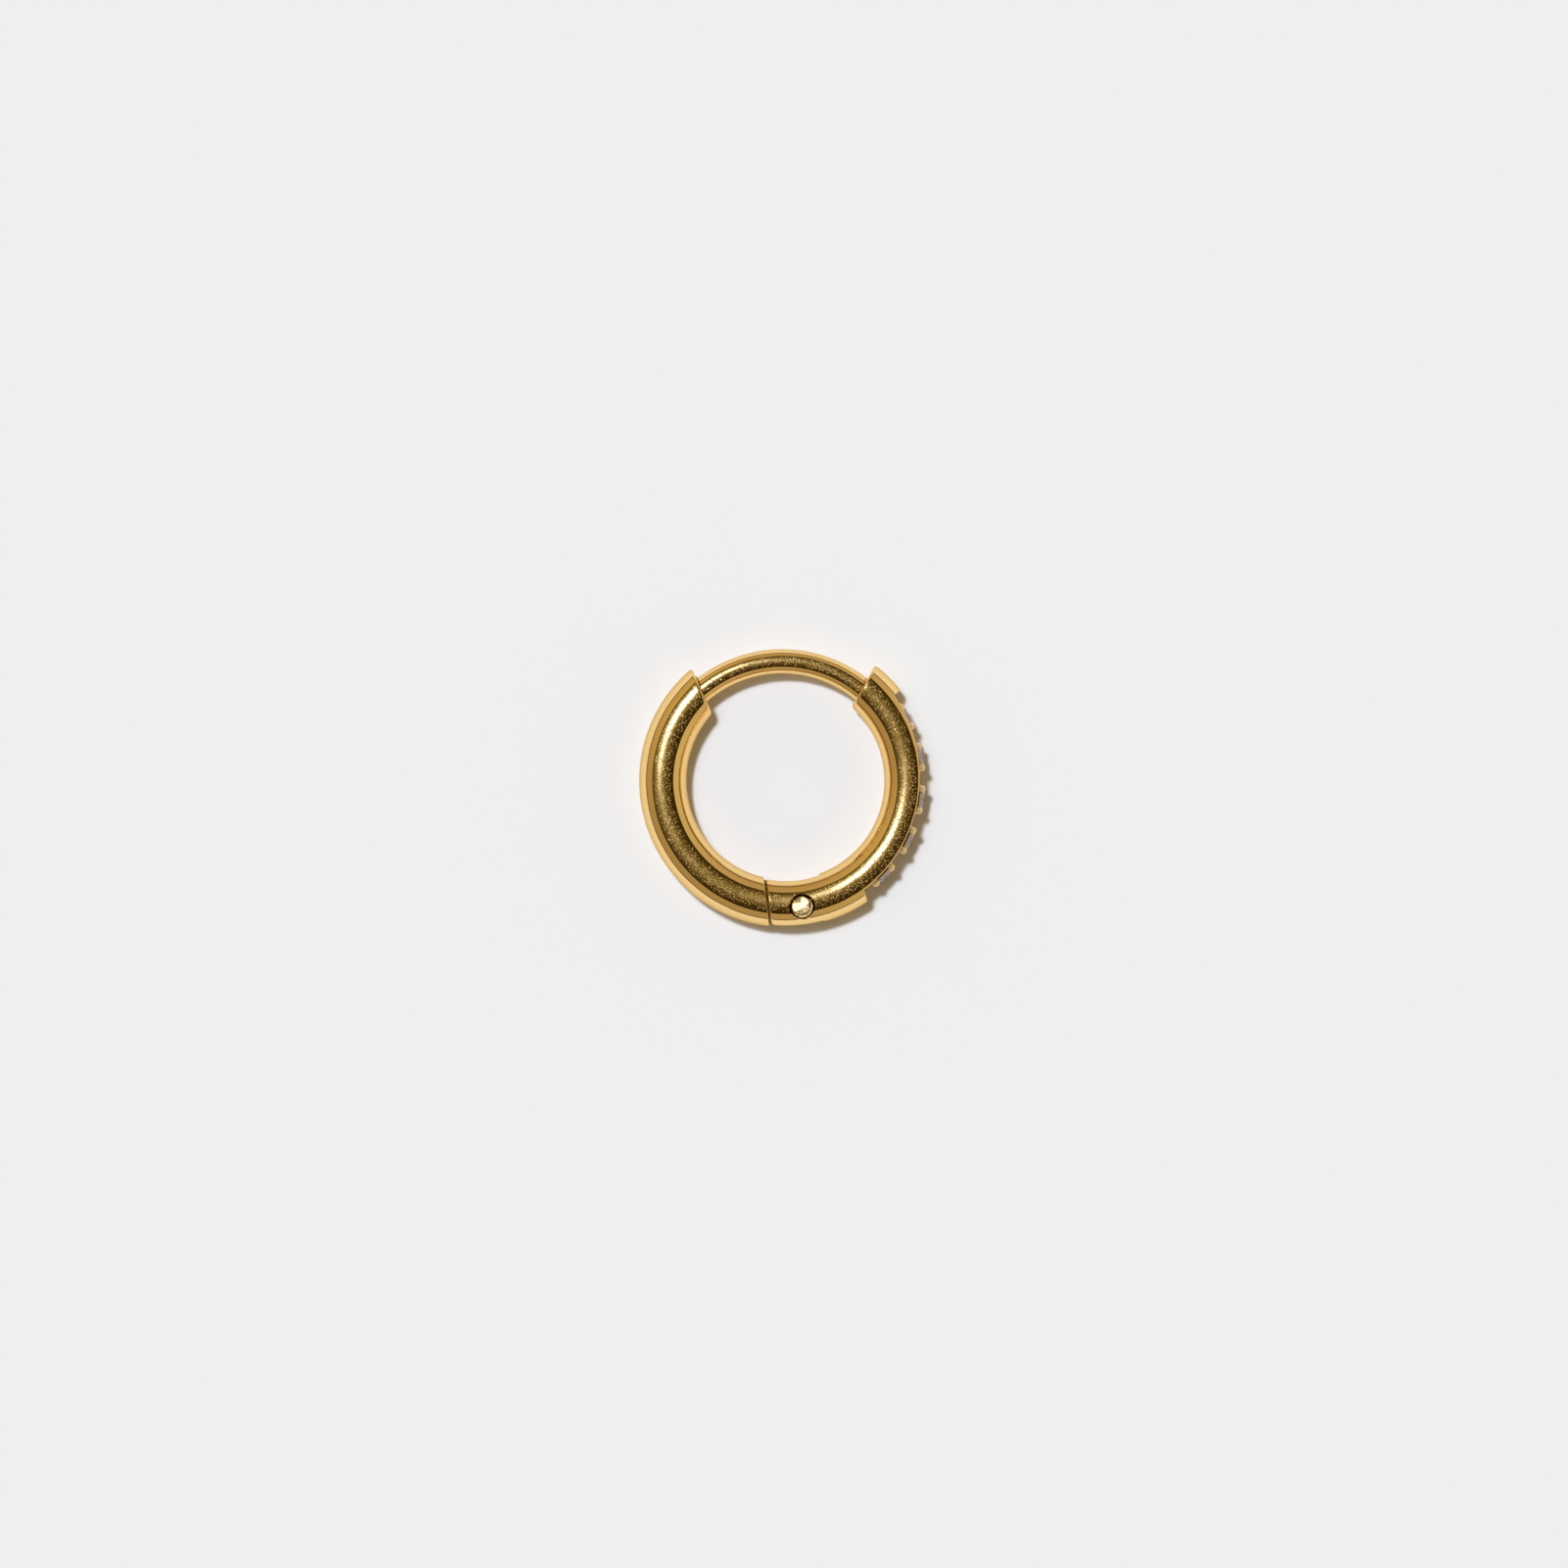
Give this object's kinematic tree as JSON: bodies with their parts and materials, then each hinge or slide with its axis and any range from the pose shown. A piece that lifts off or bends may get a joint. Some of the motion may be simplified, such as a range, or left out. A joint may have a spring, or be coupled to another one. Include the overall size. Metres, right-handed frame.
{
  "type": "hinged hoop earring",
  "caption": "Small round-tube hoop earring with a hinged back half, a thin ear post across its gap, and a row of round stones in claw settings along its front.",
  "frame": {"origin": "the hoop's axis, on the surface that the hoop lies on; the bounding box's centre lies 0.1 mm from it in X and 0.3 mm in Y", "axes": "+Z along the hoop's axis, up from the surface it lies on; +X through the half that carries the stones; +Y towards the ear post, away from the hinge"},
  "size_m": [0.0118, 0.0113, 0.0019],
  "materials": {
    "gold_plate": "polished gold plate with a fine satin grain",
    "rivet_plate": "hammered rivet end, gold plated",
    "clear_stone": "faceted and polished, clear"
  },
  "bodies": {
    "front": {"front_hoop": "gold_plate", "ear_post": "gold_plate", "hinge_pin": "rivet_plate", "stone_1": "clear_stone", "stone_2": "clear_stone", "stone_3": "clear_stone", "stone_4": "clear_stone", "stone_5": "clear_stone"},
    "back": {"back_hoop": "gold_plate"}
  },
  "joints": [
    {"name": "back_hinge", "type": "hinge", "parent": "front", "child": "back", "pos_m": [0.00068, -0.00515, 0.00097], "axis": [0, 0, 1], "range_deg": [0, 45]}
  ]
}
